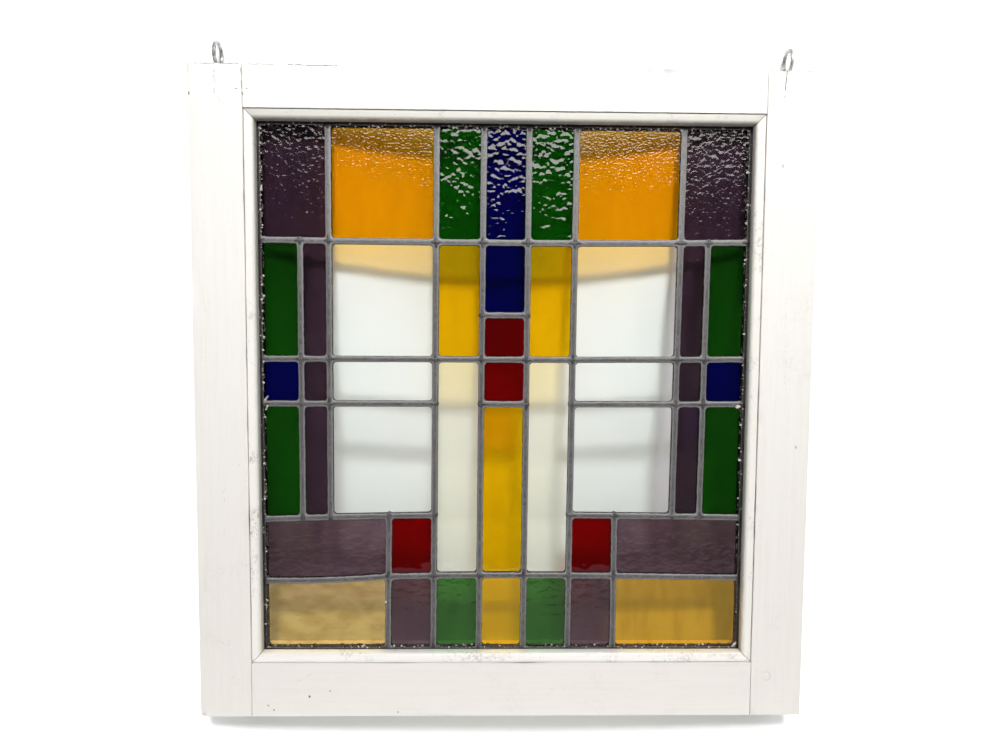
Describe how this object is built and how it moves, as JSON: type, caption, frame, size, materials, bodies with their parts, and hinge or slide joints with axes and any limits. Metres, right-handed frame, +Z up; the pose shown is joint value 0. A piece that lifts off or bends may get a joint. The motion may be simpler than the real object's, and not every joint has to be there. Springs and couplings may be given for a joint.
{
  "type": "stained glass window",
  "caption": "Small leaded stained glass window in a white painted wooden sash, a symmetrical grid of coloured and clear panes, with two screw eyes in its top edge to hang it by.",
  "frame": {"origin": "midway between the holes of the two screw eyes, the line the window hangs on", "axes": "+Z up, +X to the right seen from the front, the front faces -Y"},
  "size_m": [0.66, 0.0384, 0.7264],
  "materials": {
    "painted_wood": "white gloss paint, lightly worn",
    "galvanised_steel": "dull zinc",
    "lead": "dull grey lead with soldered joints",
    "purple_glass": "rippled",
    "orange_glass": "finely stippled",
    "green_glass": "hammered above, smooth below",
    "blue_glass": "hammered above, smooth below",
    "red_glass": "smooth",
    "yellow_glass": "smooth",
    "amber_glass": "smooth",
    "pale_amber_glass": "dull, a later replacement",
    "clear_glass": "smooth, slightly uneven"
  },
  "bodies": {
    "root": {"stile_left": "painted_wood", "stile_right": "painted_wood", "rail_top": "painted_wood", "rail_bottom": "painted_wood", "bead_left": "painted_wood", "bead_right": "painted_wood", "bead_top": "painted_wood", "bead_bottom": "painted_wood", "peg_top_left": "painted_wood", "peg_top_right": "painted_wood", "peg_bottom_left": "painted_wood", "peg_bottom_right": "painted_wood", "screw_eye_left": "galvanised_steel", "screw_eye_right": "galvanised_steel", "lead_cames": "lead", "pane_a1_purple": "purple_glass", "pane_a2_orange": "orange_glass", "pane_a3_green": "green_glass", "pane_a4_blue": "blue_glass", "pane_a5_green": "green_glass", "pane_a6_orange": "orange_glass", "pane_a7_purple": "purple_glass", "pane_b1_green": "green_glass", "pane_b2_purple": "purple_glass", "pane_b3_clear": "clear_glass", "pane_b4_yellow": "yellow_glass", "pane_b5_blue": "blue_glass", "pane_b6_red": "red_glass", "pane_b7_yellow": "yellow_glass", "pane_b8_clear": "clear_glass", "pane_b9_purple": "purple_glass", "pane_b10_green": "green_glass", "pane_c1_blue": "blue_glass", "pane_c2_purple": "purple_glass", "pane_c3_clear": "clear_glass", "pane_c4_clear": "clear_glass", "pane_c5_red": "red_glass", "pane_c6_clear": "clear_glass", "pane_c7_clear": "clear_glass", "pane_c8_purple": "purple_glass", "pane_c9_blue": "blue_glass", "pane_d1_green": "green_glass", "pane_d2_purple": "purple_glass", "pane_d3_clear": "clear_glass", "pane_d4_yellow": "yellow_glass", "pane_d5_clear": "clear_glass", "pane_d6_purple": "purple_glass", "pane_d7_green": "green_glass", "pane_e1_purple": "purple_glass", "pane_e2_red": "red_glass", "pane_e3_red": "red_glass", "pane_e4_purple": "purple_glass", "pane_f1_pale_amber": "pale_amber_glass", "pane_f2_purple": "purple_glass", "pane_f3_green": "green_glass", "pane_f4_yellow": "yellow_glass", "pane_f5_green": "green_glass", "pane_f6_purple": "purple_glass", "pane_f7_amber": "amber_glass"}
  },
  "joints": []
}
